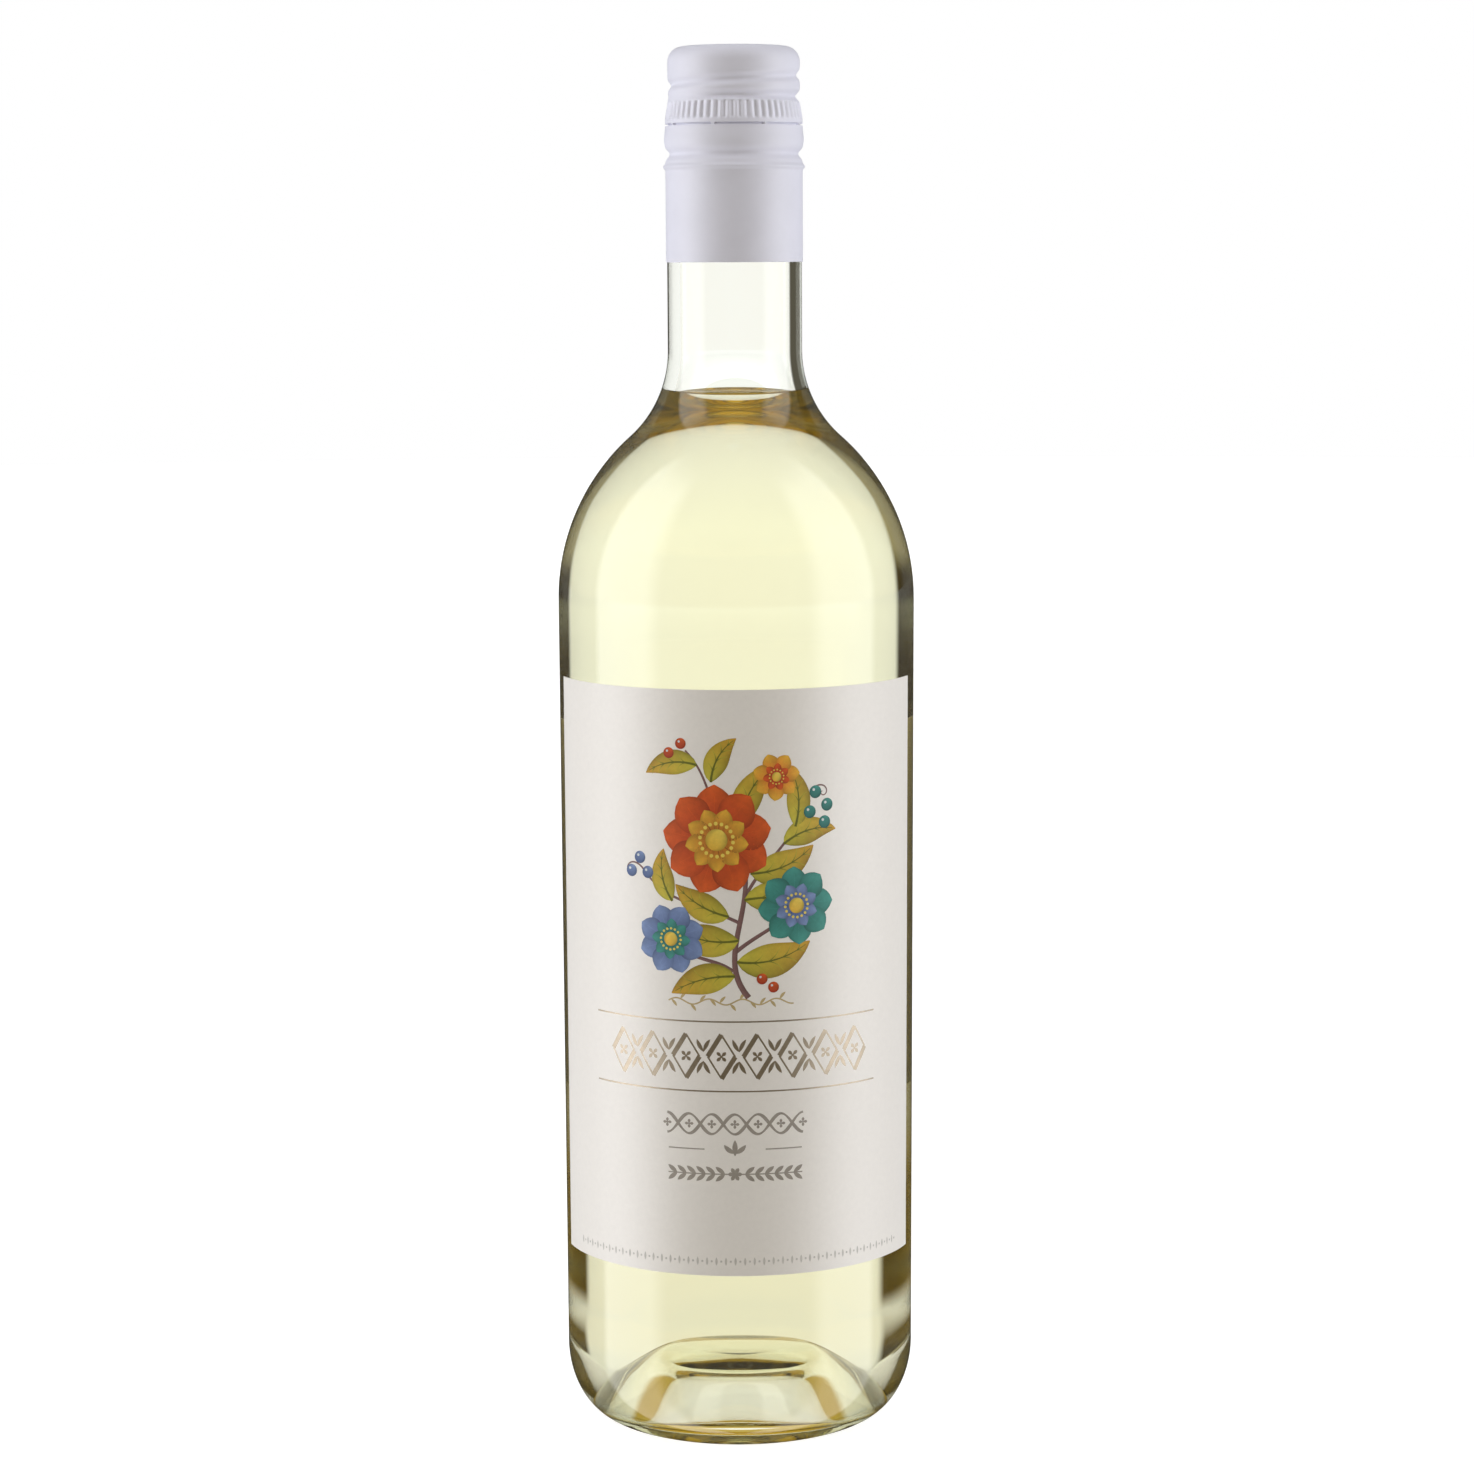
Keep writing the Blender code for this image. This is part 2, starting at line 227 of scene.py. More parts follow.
bottle = {
    "footRadius": 37.45 * mm,
    "footZ": 16.0 * mm,
    "bodyRadius": 37.98 * mm,
    "shoulderZ": 178.3 * mm,
    "shoulderArc": 46.0 * mm,
    "neckArc": 24.4 * mm,
    "neckRadius": 14.25 * mm,
    "wall": 2.9 * mm,
    "neckWall": 2.8 * mm,
    "restOuter": 26.45 * mm,
    "restInner": 24.45 * mm,
    "puntFlat": 11.5 * mm,
    "puntHeight": 13.0 * mm,
    "floorFlat": 9.0 * mm,
    "floorHeight": 17.0 * mm,
    "channelRadius": 27.0 * mm,
    "channelZ": 4.5 * mm,
    "heelFullness": 0.9,
    "boreRadius": 9.6 * mm,
    "boreZ": (262.0 * mm, 266.0 * mm),
    "linerGap": 0.9 * mm,
    "finishRadius": 12.4 * mm,
    "collarRadius": 13.65 * mm,
    "columns": 240,
    "tint": (0.99, 0.995, 0.985),
    "absorb": (0.65, 0.78, 0.10),
    "absorbDensity": 9.0,
    "refraction": 1.5,
}


def bodyRadius(z):
    # the outer radius between heel and shoulder, a very slight cone
    share = (z - bottle["footZ"]) / (bottle["shoulderZ"] - bottle["footZ"])
    return bottle["footRadius"] + share * (bottle["bodyRadius"] - bottle["footRadius"])


def shoulderLine(inset, neckInset, topZ, steps):
    # two tangent arcs, moved in by an inset that grows to neckInset up the neck:
    # r = centre -+ (arc +- inset) cos(angle), z = centre -+ (arc +- inset) sin(angle)
    b = bottle
    across = b["neckRadius"] + b["neckArc"] - (b["bodyRadius"] - b["shoulderArc"])
    rise = math.sqrt((b["shoulderArc"] + b["neckArc"]) ** 2 - across**2)
    neckZ = b["shoulderZ"] + rise
    turn = math.atan2(rise, across)
    angle = np.linspace(0.0, turn, steps)
    arc = b["neckArc"] + inset + (neckInset - inset) * smoothStep(1 - angle / turn)
    upper = np.column_stack((
        b["neckRadius"] + b["neckArc"] - arc * np.cos(angle), neckZ - arc * np.sin(angle)))
    angle = np.linspace(turn, 0.0, steps + 8)[1:]
    arc = b["shoulderArc"] - inset
    lower = np.column_stack((
        b["bodyRadius"] - b["shoulderArc"] + arc * np.cos(angle),
        b["shoulderZ"] + arc * np.sin(angle)))
    line = np.vstack((upper, lower))
    below = line[line[:, 1] < topZ]
    if len(below) < len(line):
        edge = np.interp(topZ, line[::-1, 1], line[::-1, 0])
        below = np.vstack(([edge, topZ], below))
    return below


def liningLine(topZ):
    # the inner face from topZ down to the middle of the floor, without its last point: the
    # heel is a quarter oval, cos^fullness by sin^fullness, and the dome a smooth step
    b = bottle
    upper = shoulderLine(b["wall"], b["neckWall"], topZ, 30)
    heel = b["footRadius"] - b["wall"]
    drop = b["floorHeight"] - b["channelZ"]
    angle = np.linspace(0.0, math.pi / 2, 26)
    across = np.cos(angle).clip(0, 1) ** b["heelFullness"]
    heelLine = np.column_stack((
        b["channelRadius"] + (heel - b["channelRadius"]) * across,
        b["floorHeight"] - drop * np.sin(angle) ** b["heelFullness"]))
    share = np.linspace(0.0, 1.0, 24)[1:]
    dome = np.column_stack((
        b["channelRadius"] + (b["floorFlat"] - b["channelRadius"]) * share,
        b["channelZ"] + drop * smoothStep(share)))
    flat = np.array([[b["floorFlat"] * 0.5, b["floorHeight"]]])
    return np.vstack((upper, heelLine, dome, flat))


def outsideLine():
    # the outer face from the shoulder's top down to the resting ring and up into the punt:
    # the heel is a quarter oval, cos by 1 - sin, and the punt a smooth step
    b = bottle
    upper = shoulderLine(0.0, 0.0, 1.0, 34)
    angle = np.linspace(0.0, math.pi / 2, 30)
    heel = np.column_stack((
        b["restOuter"] + (b["footRadius"] - b["restOuter"]) * np.cos(angle),
        b["footZ"] * (1 - np.sin(angle))))
    share = np.linspace(0.0, 1.0, 24)
    punt = np.column_stack((
        b["restInner"] + (b["puntFlat"] - b["restInner"]) * share,
        b["puntHeight"] * smoothStep(share)))
    flat = np.array([[b["puntFlat"] * 0.5, b["puntHeight"]]])
    return np.vstack((upper, heel, punt, flat))


def glassMaterial():
    material, tree, shader = clearMaterial("clearGlass", bottle)
    # the mould leaves the faintest waves in the glass
    bumpOf(tree, shader, noiseOf(tree, 45.0, 2.0, 0.4, (1, 1, 0.35)), 0.00004)
    return material


def makeGlass():
    # one closed line: up the lining, over the finish under the cap and down the outside
    b = bottle
    bore, outer, collar, neck = b["boreRadius"], b["finishRadius"], b["collarRadius"], b["neckRadius"]
    capEdge = cap["edgeZ"]
    lipZ = cadBox[1][2] - b["linerGap"]
    finish = [
        (neck - b["neckWall"], b["boreZ"][0]), (bore, b["boreZ"][1]), (bore, lipZ - 0.5 * mm),
        (bore + 0.5 * mm, lipZ), (bore + 1.3 * mm, lipZ), (outer, lipZ - 2.7 * mm),
        (outer, capEdge + 20.5 * mm), (collar, capEdge + 18.9 * mm),
        (collar, capEdge + 1.2 * mm), (neck, capEdge + 0.6 * mm), (neck, capEdge + 0.3 * mm)]
    line = fillIn(np.vstack((liningLine(1.0)[::-1], finish, outsideLine())), 5 * mm)
    radius, height = asRows(line, b["columns"])
    piece = turnedPiece("glass_body", radius, height, glassMaterial(), 60)
    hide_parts("glass_bottle")
    piece.visible_shadow = False


# The wine

wine = {
    "fillZ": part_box("wine")[1][2],
    "overlap": 0.12 * mm,
    "meniscus": 1.1 * mm,
    "meniscusWidth": 1.6 * mm,
    "columns": 240,
    "tint": (1.0, 0.998, 0.98),
    "absorb": (0.94, 0.86, 0.36),
    "absorbDensity": 8.0,
    "refraction": 1.342,
}


def makeWine():
    # a flat surface that climbs the wall by a meniscus, then the lining moved out into it:
    # z = fill + meniscus exp(-(wall - r) / width)
    w = wine
    line = liningLine(w["fillZ"] + w["meniscus"])
    along = np.gradient(line, axis=0)
    along /= np.linalg.norm(along, axis=1)[:, None]
    body = line - w["overlap"] * np.column_stack((along[:, 1], -along[:, 0]))
    wall = body[0, 0]
    inward = np.linspace(0.02, 1.0, 40) ** 0.6 * wall
    rise = w["meniscus"] * np.exp(-(wall - inward) / w["meniscusWidth"])
    surface = np.column_stack((inward, w["fillZ"] + rise))
    line = np.vstack((surface, fillIn(body, 5 * mm)[1:]))
    radius, height = asRows(line, w["columns"])
    material = clearMaterial("paleStrawWine", w)[0]
    piece = turnedPiece("white_wine", radius, height, material, 70)
    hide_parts("wine")
    piece.visible_shadow = False


# The screw cap

cap = {
    "topZ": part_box("screw_cap")[1][2],
    "edgeZ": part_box("screw_cap")[0][2],
    "flatRadius": 10.8 * mm,
    "rounding": 3.2 * mm,
    "threadRadius": 13.95 * mm,
    "skirtRadius": 14.5 * mm,
    "widening": (283.5 * mm, 279.0 * mm),
    "rings": ((284.1, -0.2, 0.8), (275.2, 0.25, 1.6), (272.1, -0.95, 0.95), (269.45, 0.5, 0.5)),
    "threadPitch": 4.4 * mm,
    "threadFrontZ": 287.4 * mm,
    "threadEndZ": 284.1 * mm,
    "threadDepth": 0.8 * mm,
    "threadHalfWidth": 0.85 * mm,
    "threadSeam": math.radians(225),
    "threadIn": (math.radians(230), math.radians(60)),
    "threadOut": (math.radians(430), math.radians(70)),
    "knurls": 56,
    "knurlDepth": 0.36 * mm,
    "knurlZ": (283.0 * mm, 279.3 * mm),
    "slits": 8,
    "slitZ": 278.2 * mm,
    "slitHalfHeight": 0.22 * mm,
    "slitDepth": 0.6 * mm,
    "slitTurn": math.radians(6.0),
    "bridge": math.radians(2.4),
    "hemZ": 268.2 * mm,
    "shell": 0.22 * mm,
    "liningRadius": 12.75 * mm,
    "columns": 560,
    "colour": (0.84, 0.84, 0.94),
}


def capRadius(z):
    # the plain radius widens from thread to skirt by a smooth step, and each rolled ring
    # adds its swell as a bump
    c = cap
    widening = (c["widening"][0] - z) / (c["widening"][0] - c["widening"][1])
    radius = c["threadRadius"] + (c["skirtRadius"] - c["threadRadius"]) * smoothStep(widening)
    for centre, swell, half in c["rings"]:
        radius = radius + swell * mm * bump(z, centre * mm, half * mm)
    return radius


def threadGroove(angle, z):
    # a groove that winds down: centre = front + pitch * angle / turn, fading in and out
    c = cap
    wound = np.where(angle > c["threadSeam"], angle - 2 * math.pi, angle)
    depth = np.zeros(np.broadcast(wound, z).shape)
    for turn in (0, 1):
        at = wound - turn * 2 * math.pi
        centre = c["threadFrontZ"] + c["threadPitch"] * at / (2 * math.pi)
        centre = np.maximum(centre, c["threadEndZ"])
        start = smoothStep((c["threadIn"][0] - at) / c["threadIn"][1])
        end = smoothStep((at + c["threadOut"][0]) / c["threadOut"][1])
        groove = c["threadDepth"] * start * end * bump(z, centre, c["threadHalfWidth"])
        depth = np.maximum(depth, groove)
    return depth


def knurlCut(angle, z):
    # vertical flutes: depth ((1 + cos(knurls angle)) / 2)^1.3, faded at the band's two ends
    c = cap
    fade = 0.35 * mm
    within = smoothStep((c["knurlZ"][0] - z) / fade) * smoothStep((z - c["knurlZ"][1]) / fade)
    return c["knurlDepth"] * within * (0.5 + 0.5 * np.cos(c["knurls"] * angle)) ** 1.3


def slitCut(angle, z):
    # a level slot, within slitHalfHeight of slitZ, that narrow bridges break at even angles
    c = cap
    span = 2 * math.pi / c["slits"]
    fromBridge = np.abs(((angle - c["slitTurn"] + span / 2) % span) - span / 2)
    half = span / 2 - c["bridge"] / 2
    across = smoothStep((half - fromBridge) / math.radians(0.8))
    return c["slitDepth"] * across * (np.abs(z - c["slitZ"]) < c["slitHalfHeight"])


def capMaterial():
    # satin lacquer with faint patches in its tone and gloss
    material, tree, shader = newMaterial("capLacquer")
    setInputs(shader, Metallic=0.0, IOR=1.5, Coat_Weight=0.12, Coat_Roughness=0.3)
    patches = noiseOf(tree, 160.0, 5.0, 0.6)
    mottle(tree, shader, patches, 0.2, cap["colour"], 0.96)
    tree.links.new(rangeOf(tree, patches, 0.42, 0.55), shader.inputs["Roughness"])
    bumpOf(tree, shader, noiseOf(tree, 2600.0, 3.0, 0.6), 0.000006)
    return material


def makeCap():
    # rows down the outside, round the rolled edge and up the inside; the crown's edge is a
    # quarter round: r = flat + (thread - flat) cos(turn), z = top - rounding (1 - sin(turn))
    c = cap
    turn = np.linspace(math.pi / 2, 0.0, 16)
    crown = np.column_stack((
        c["flatRadius"] + (c["threadRadius"] - c["flatRadius"]) * np.cos(turn),
        c["topZ"] - c["rounding"] * (1 - np.sin(turn))))
    crown = np.vstack(([[c["flatRadius"] * 0.5, c["topZ"]]], crown))
    slitTop = c["slitZ"] + c["slitHalfHeight"]
    slitFoot = c["slitZ"] - c["slitHalfHeight"]
    hair = 0.02 * mm
    z = np.concatenate((
        np.linspace(c["topZ"] - c["rounding"], c["knurlZ"][0], 34)[1:],
        np.linspace(c["knurlZ"][0], c["knurlZ"][1], 14)[1:],
        (278.9 * mm, 278.55 * mm, slitTop + hair, slitTop - hair),
        (slitFoot + hair, slitFoot - hair),
        np.linspace(slitFoot - hair, c["hemZ"], 44)[1:],
        np.linspace(c["hemZ"], c["edgeZ"] + 0.25 * mm, 8)[1:]))
    angle = np.arange(c["columns"]) * 2 * math.pi / c["columns"]
    zz, aa = np.meshgrid(z, angle, indexing="ij")
    outer = capRadius(zz) - threadGroove(aa, zz) - knurlCut(aa, zz) - slitCut(aa, zz)
    edge = c["skirtRadius"]
    rim = [(edge - 0.04 * mm, c["edgeZ"] + 0.08 * mm), (edge - 0.11 * mm, c["edgeZ"]),
           (edge - c["shell"] + 0.02 * mm, c["edgeZ"] + 0.04 * mm)]
    lining = c["liningRadius"]
    inside = [(edge - c["shell"], c["edgeZ"] + 0.3 * mm), (edge - c["shell"], c["hemZ"]),
              (lining, c["hemZ"] + 2.2 * mm), (lining, c["topZ"] - 2.9 * mm),
              (11.0 * mm, c["topZ"] - 0.5 * mm), (5.0 * mm, c["topZ"] - 0.5 * mm)]
    upperRadius, upperZ = asRows(crown, c["columns"])
    lowerRadius, lowerZ = asRows(rim + inside, c["columns"])
    radius = np.vstack((upperRadius, outer, lowerRadius))
    height = np.vstack((upperZ, zz, lowerZ))
    piece = turnedPiece("cap_shell", radius, height, capMaterial(), 50)
    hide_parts("screw_cap")


# The labels and their print

label = {
    "frontHalfAngle": math.radians(73.25),
    "backHalfAngle": math.radians(60),
    "glued": 0.04 * mm,
    "thickness": 0.13 * mm,
    "columns": 160,
    "rows": 40,
    "paper": (0.935, 0.90, 0.845),
    "backPaper": (0.80, 0.78, 0.70),
    "gluedSide": (0.68, 0.57, 0.29),
}


def paperRadius(z):
    # the front face of the front label, which the print lies on
    return bodyRadius(z) + label["thickness"]


def bentSheet(name, lowZ, highZ, halfAngle, facing, material):
    # two grids on the cone of the body, angle by height, joined round their rim:
    # x = r(z) sin(angle), y = -r(z) cos(angle). The inner one lies just in the glass, as
    # glue leaves no air
    c, r = label["columns"], label["rows"]
    angle, z = np.meshgrid(
        np.linspace(facing - halfAngle, facing + halfAngle, c),
        np.linspace(highZ, lowZ, r))
    layers = []
    for lift in (label["thickness"], -label["glued"]):
        radius = bodyRadius(z) + lift
        layers.append(np.stack((radius * np.sin(angle), -radius * np.cos(angle), z), axis=-1))
    points = np.vstack([layer.reshape(-1, 3) for layer in layers])
    outer = joinFaces(r, c, False)
    inner = joinFaces(r, c, False, r * c)[:, ::-1]
    index = np.arange(r * c).reshape(r, c)
    rim = np.concatenate((index[0], index[1:, -1], index[-1, -2::-1], index[-2:0:-1, 0]))
    nextRim = np.roll(rim, -1)
    sides = np.stack((rim, nextRim, nextRim + r * c, rim + r * c), axis=-1)
    faces = np.vstack((outer, inner, sides))
    glued = np.repeat((0, 1, 0), (len(outer), len(inner), len(sides)))
    return addPiece(name, points, faces, [], material, 60, (gluedMaterial(name + "Glue"), glued))


def gluedMaterial(name):
    # the side of the paper that is stuck to the glass, with the glue's faint clouds
    material, tree, shader = newMaterial(name)
    setInputs(shader, Roughness=0.7, Specular_IOR_Level=0.2)
    mottle(tree, shader, noiseOf(tree, 120.0, 4.0, 0.6), 0.15, label["gluedSide"], 1.0, 1.12)
    return material


def paperMaterial(name, colour):
    # uncoated paper with darker fibres and a fine tooth
    material, tree, shader = newMaterial(name)
    setInputs(shader, Roughness=0.42, IOR=1.45, Specular_IOR_Level=0.9, Sheen_Weight=0.08)
    mottle(tree, shader, noiseOf(tree, 900.0, 6.0, 0.7), 0.15, colour, 0.965)
    bumpOf(tree, shader, noiseOf(tree, 2200.0, 5.0, 0.7), 0.000012)
    return material


# The print on the front label. Every mark is a strip of ink or foil: a path over the
# label, in mm of arc u from its middle and of height z, with a half width at each point

labelPrint = {
    "layer": 0.007 * mm,
    "dip": 0.02 * mm,
    "rim": 0.006,
    "rust": (0.80, 0.13, 0.018),
    "rustDeep": (0.42, 0.035, 0.012),
    "amber": (0.90, 0.52, 0.05),
    "yellow": (0.92, 0.72, 0.12),
    "teal": (0.07, 0.36, 0.30),
    "tealDeep": (0.015, 0.13, 0.12),
    "blue": (0.24, 0.34, 0.60),
    "blueDeep": (0.06, 0.10, 0.26),
    "leaf": (0.60, 0.55, 0.06),
    "leafTip": (0.62, 0.34, 0.03),
    "leafDeep": (0.16, 0.17, 0.015),
    "bark": (0.24, 0.13, 0.12),
    "glint": (0.8, 0.85, 0.85),
    "foil": (0.44, 0.37, 0.28),
    "goldInk": (0.60, 0.46, 0.22),
    "smallInk": (0.40, 0.36, 0.31),
    "faintInk": (0.68, 0.65, 0.60),
}


def strip(path, halfWidth, layer, colours, side=0.0, edge=0.0, across=3):
    # place = path + v halfWidth normal, v from -1 to 1, with a rim that dips into the
    # paper; colours holds one colour, or the path's first and last. One side is lighter
    # than the other and both edges are darker
    path = np.asarray(path, dtype=float)
    rows = len(path)
    run = np.gradient(path, axis=0)
    run /= np.linalg.norm(run, axis=1)[:, None]
    normal = np.column_stack((-run[:, 1], run[:, 0]))
    rim = labelPrint["rim"]
    ends = np.vstack((path[0] - rim * run[0], path, path[-1] + rim * run[-1]))
    pick = np.concatenate(([0], np.arange(rows), [rows - 1]))
    v = np.linspace(-1, 1, across)
    half = np.broadcast_to(halfWidth, rows)[pick]
    reach = np.outer(half, v)
    reach = np.column_stack((reach[:, 0] - rim, reach, reach[:, -1] + rim))
    place = ends[:, None, :] + reach[:, :, None] * normal[pick][:, None, :]
    lift = np.full(reach.shape, layer * labelPrint["layer"])
    lift[[0, -1]] = lift[:, [0, -1]] = -labelPrint["dip"]
    z = place[..., 1] * mm
    radius = paperRadius(z) + lift
    angle = place[..., 0] * mm / paperRadius(z)
    points = np.stack((radius * np.sin(angle), -radius * np.cos(angle), z), axis=-1)
    share = np.linspace(0, 1, rows)[pick][:, None, None]
    tones = np.atleast_2d(colours)
    v = np.concatenate(([-1], v, [1]))[None, :, None]
    colour = (tones[0] + (tones[-1] - tones[0]) * share) * (1 + side * v) * (1 - edge * v**4)
    faces = joinFaces(rows + 2, across + 2, False)
    return points.reshape(-1, 3), faces, colour.clip(0, 1).reshape(-1, 3)


def swell(width, count, power=0.8, lean=1.0):
    # a half width that is widest inside and nearly nothing at both ends:
    # width sin(pi share^lean)^power
    share = np.linspace(0, 1, count)
    return width * (0.03 + 0.97 * np.sin(math.pi * share**lean).clip(0, 1) ** power)


def disc(centre, radius, layer, colours, side=0.0, edge=0.0, count=11):
    # a round spot: a straight path, x from -1 to 1 along it, half width sqrt(1 - x^2) radius
    x = -np.cos(np.linspace(0.06, math.pi - 0.06, count))
    path = np.column_stack((centre[0] + radius * 0.5 * x, centre[1] + radius * 0.866 * x))
    return strip(path, radius * np.sqrt(1 - x**2), layer, colours, side, edge, 5)


def bend(start, first, second, end):
    # a cubic curve with four handles: (1-t)^3, 3 (1-t)^2 t, 3 (1-t) t^2 and t^3 of each
    t = np.linspace(0, 1, 24)[:, None]
    handles = np.array((start, first, second, end), dtype=float)
    return ((1 - t) ** 3 * handles[0] + 3 * (1 - t) ** 2 * t * handles[1]
            + 3 * (1 - t) * t**2 * handles[2] + t**3 * handles[3])


def outward(base, heading, length, sag=0.0, count=16):
    # a path that leaves its base in one heading (degrees) and sags to one side, by
    # 1.6 sag t (1 - t / length)
    turn = math.radians(heading)
    t = np.linspace(0, length, count)
    across = sag * t * (1 - t / length) * 1.6
    return np.column_stack((
        base[0] + t * math.cos(turn) - across * math.sin(turn),
        base[1] + t * math.sin(turn) + across * math.cos(turn)))


def leafMarks(base, heading, length, width, sag):
    # a pointed blade with one lighter half, a midrib and four pairs of veins
    p = labelPrint
    path = outward(base, heading, length, sag)
    blade = swell(width, len(path), 0.9, 0.8)
    marks = [strip(path, blade, 4, (p["leaf"], p["leafTip"]), 0.22, 0.35, 9),
             strip(path[:-1], np.linspace(0.26, 0.05, len(path) - 1), 6, p["leafDeep"], across=5)]
    run = np.gradient(path, axis=0)
    lean = np.degrees(np.arctan2(run[:, 1], run[:, 0]))
    for place in (3, 6, 9, 12):
        for hand in (-1, 1):
            vein = outward(path[place], lean[place] + hand * 42, blade[place] * 1.05, -hand * 0.25, 7)
            marks.append(strip(vein, np.linspace(0.12, 0.03, 7), 5, (p["leafDeep"], p["leaf"])))
    return marks


def blossomMarks(centre, radius, petals, outer, inner, turn):
    # two rounds of petals, the inner one shorter and deeper, round a yellow eye of dots
    p = labelPrint
    layer = 8
    marks = []
    for number in range(petals):
        heading = turn + 360 * number / petals
        path = outward(centre, heading, radius, 0.06, 14)
        petal = swell(radius * 0.34, 14, 0.75, 1.5)
        marks.append(strip(path, petal, layer + number % 2, (outer[1], outer[0]), 0.14, 0.3, 7))
        vein = outward(centre, heading, radius * 0.8, 0.06, 7)
        marks.append(strip(vein, np.linspace(0.16, 0.04, 7), layer + 2, (outer[1], outer[0])))
        path = outward(centre, heading + 180 / petals, radius * 0.58, -0.06, 12)
        petal = swell(radius * 0.17, 12, 0.75, 1.4)
        marks.append(strip(path, petal, layer + 3, (inner[1], inner[0]), 0.14, 0.3, 5))
    marks.append(disc(centre, radius * 0.2, layer + 4, (p["amber"], p["yellow"]), 0.1, 0.4))
    for number in range(petals * 2):
        turnBy = math.radians(360 * number / (petals * 2) + turn)
        at = (centre[0] + radius * 0.3 * math.cos(turnBy), centre[1] + radius * 0.3 * math.sin(turnBy))
        marks.append(disc(at, radius * 0.035, layer + 5, p["yellow"], 0, 0, 6))
    return marks


def berryMarks(places, radius, colour, deep):
    # round berries, each with a small pale glint
    marks = []
    for place in places:
        marks.append(disc(place, radius, 6, (deep, colour), 0.15, 0.35))
        glint = (place[0] - radius * 0.3, place[1] + radius * 0.35)
        marks.append(disc(glint, radius * 0.22, 7, labelPrint["glint"], 0, 0, 6))
    return marks


def tendrilMarks(start, heading, size, hand):
    # a thin shoot that winds into a curl: its direction turns by 7.5 t^1.7 along the path
    t = np.linspace(0, 1, 40)
    lean = math.radians(heading) + hand * 7.5 * t**1.7
    steps = size * (1.25 - t)[:, None] * np.column_stack((np.cos(lean), np.sin(lean))) / 40
    path = np.asarray(start) + np.cumsum(steps, axis=0)
    return [strip(path, np.linspace(0.2, 0.07, 40), 3, labelPrint["bark"])]


def ruleMark(z, fromU, toU, half, colour):
    # a straight level line
    u = np.linspace(fromU, toU, 60)
    return strip(np.column_stack((u, np.full(60, z))), half, 1, colour)


def outlineMarks(corners, halfWidths, colour):
    # straight strokes from corner to corner, each with its own half width
    marks = []
    for first, second, half in zip(corners, corners[1:] + corners[:1], halfWidths):
        marks.append(strip(np.linspace(first, second, 6), half, 1, colour))
    return marks


def rosetteMarks(centre, length, width, petals, turn, ink, layer=1):
    # small petals round a dot, all in one ink
    marks = [disc(centre, width * 0.7, layer + 1, ink, 0, 0, 7)]
    for number in range(petals):
        petal = outward(centre, turn + 360 * number / petals, length, 0, 8)
        marks.append(strip(petal, swell(width, 8, 0.8, 1.4), layer, ink))
    return marks


def nameBandMarks():
    # a wide foil band: open lozenges in thick and thin strokes, with rosettes inside and
    # pairs of small leaves between
    ink = labelPrint["foil"]
    marks = []
    low, high = 81.4, 90.7
    middle = (low + high) / 2
    spacing = 7.49
    for number in range(8):
        u = -25.2 + spacing * number
        corners = [(u, high), (u + 2.9, middle), (u, low), (u - 2.9, middle)]
        marks += outlineMarks(corners, (0.18, 0.5, 0.18, 0.5), ink)
        marks += rosetteMarks((u, middle), 1.35, 0.36, 4, 45, ink)
        if number < 7:
            between = u + spacing / 2
            for hand in (-1, 1):
                for heading in (62, 118):
                    leaf = outward((between, middle + hand), hand * heading, 3.0, 0.12 * hand, 8)
                    marks.append(strip(leaf, swell(0.42, 8), 1, ink))
    return marks


def smallBandMarks():
    # two waves that cross in a plait with rosettes in its eyes, a laurel row that grows out
    # from a rosette, and between them a small sprig with a rule on either side
    ink = labelPrint["smallInk"]
    plaitZ, eyes, laurelZ = 71.75, 4.83, 61.15
    marks = []
    u = np.linspace(-14.5, 14.5, 120)
    for hand in (-1, 1):
        wave = plaitZ + hand * 2.1 * np.cos(math.pi * u / eyes)
        width = 0.2 + 0.16 * np.cos(math.pi * u / eyes + hand) ** 2
        marks.append(strip(np.column_stack((u, wave)), width, 1 + (hand > 0), ink))
    for number in range(7):
        marks += rosetteMarks((-14.49 + eyes * number, plaitZ), 0.95, 0.3, 4, 0, ink)
    marks.append(ruleMark(laurelZ, -14.3, 14.3, 0.13, ink))
    marks += rosetteMarks((0, laurelZ), 1.5, 0.42, 6, 0, ink, 2)
    for number in range(6):
        for hand in (-1, 1):
            for heading in (38, -38):
                base = (hand * (2.1 + 2.05 * number), laurelZ)
                leaf = outward(base, 90 - hand * 90 + heading, 2.5, 0, 8)
                marks.append(strip(leaf, swell(0.46, 8), 2, ink))
    for hand in (-1, 1):
        marks.append(ruleMark(66.4, hand * 6.4, hand * 14.2, 0.13, ink))
        leaf = outward((0, 65.6), 90 + hand * 52, 2.9, 0.2 * hand, 9)
        marks.append(strip(leaf, swell(0.5, 9), 1, ink))
    marks.append(strip(outward((0, 65.0), 90, 3.4, 0, 9), swell(0.55, 9), 2, ink))
    return marks


def ruleMarks():
    # the two long foil rules
    return [ruleMark(z, -33.0, 33.0, 0.16, labelPrint["foil"]) for z in (93.4, 78.7)]


def fineMarks():
    # the fine gold twig below the picture, and the faint row near the foot
    gold, faint = labelPrint["goldInk"], labelPrint["faintInk"]
    u = np.linspace(-14.0, 12.5, 90)
    twig = np.column_stack((u, 97.6 + 0.6 * np.sin(u * 0.9)))
    marks = [strip(twig, 0.15, 1, gold)]
    for number in range(12):
        sprout = outward(twig[2 + number * 7], 50 if number % 2 else -50, 1.9, 0.15, 7)
        marks.append(strip(sprout, swell(0.3, 7), 1, gold))
    for number in range(-20, 21):
        at = number * 2.0
        marks.append(strip(np.linspace((at, 43.4), (at, 41.6), 5), swell(0.26, 5), 1, faint))
        marks.append(disc((at + 1.0, 42.5), 0.24, 1, faint, 0, 0, 6))
    return marks


